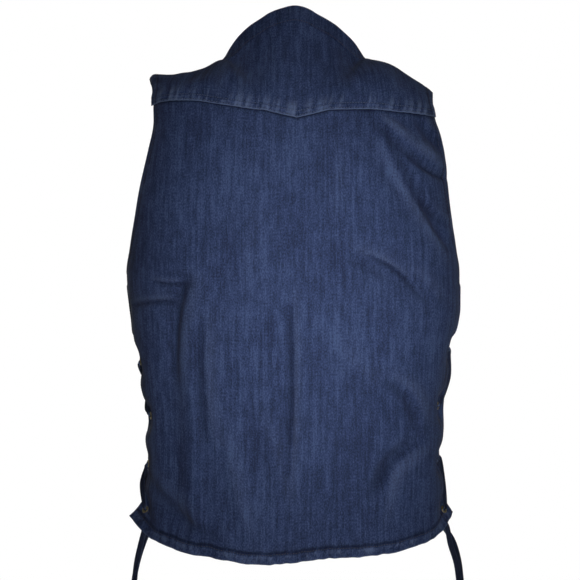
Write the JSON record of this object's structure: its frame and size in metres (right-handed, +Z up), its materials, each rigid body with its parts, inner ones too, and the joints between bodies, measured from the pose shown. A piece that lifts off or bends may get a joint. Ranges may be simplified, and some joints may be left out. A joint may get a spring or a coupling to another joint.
{
  "type": "denim vest",
  "caption": "Sleeveless collarless denim vest in its worn hollow form, with a back yoke, laced side slits with brass eyelets, and a snapped V-neck front.",
  "frame": {"origin": "between the two places beside the neck where the wearer's shoulders carry the vest", "axes": "+Z up along the wearer's body, +Y to the wearer's front, +X to the wearer's right"},
  "size_m": [0.4128, 0.2653, 0.7509],
  "materials": {
    "denim": "dark indigo slub denim, matte",
    "denim_band": "dark indigo denim band, matte",
    "lace": "flat woven navy lace",
    "brass": "dull aged brass"
  },
  "bodies": {
    "root": {"back_panel": "denim", "back_yoke": "denim", "neck_band": "denim_band", "front_left": "denim", "front_right": "denim", "eyelet_left_back_1": "brass", "eyelet_left_back_2": "brass", "eyelet_left_back_3": "brass", "eyelet_left_back_4": "brass", "eyelet_left_front_1": "brass", "eyelet_left_front_2": "brass", "eyelet_left_front_3": "brass", "eyelet_left_front_4": "brass", "eyelet_right_back_1": "brass", "eyelet_right_back_2": "brass", "eyelet_right_back_3": "brass", "eyelet_right_back_4": "brass", "eyelet_right_front_1": "brass", "eyelet_right_front_2": "brass", "eyelet_right_front_3": "brass", "eyelet_right_front_4": "brass", "lace_left": "lace", "lace_right": "lace", "lace_end_left_back": "lace", "lace_end_left_front": "lace", "lace_end_right_back": "lace", "lace_end_right_front": "lace", "snap_1": "brass", "snap_2": "brass", "snap_3": "brass", "snap_4": "brass"}
  },
  "joints": []
}
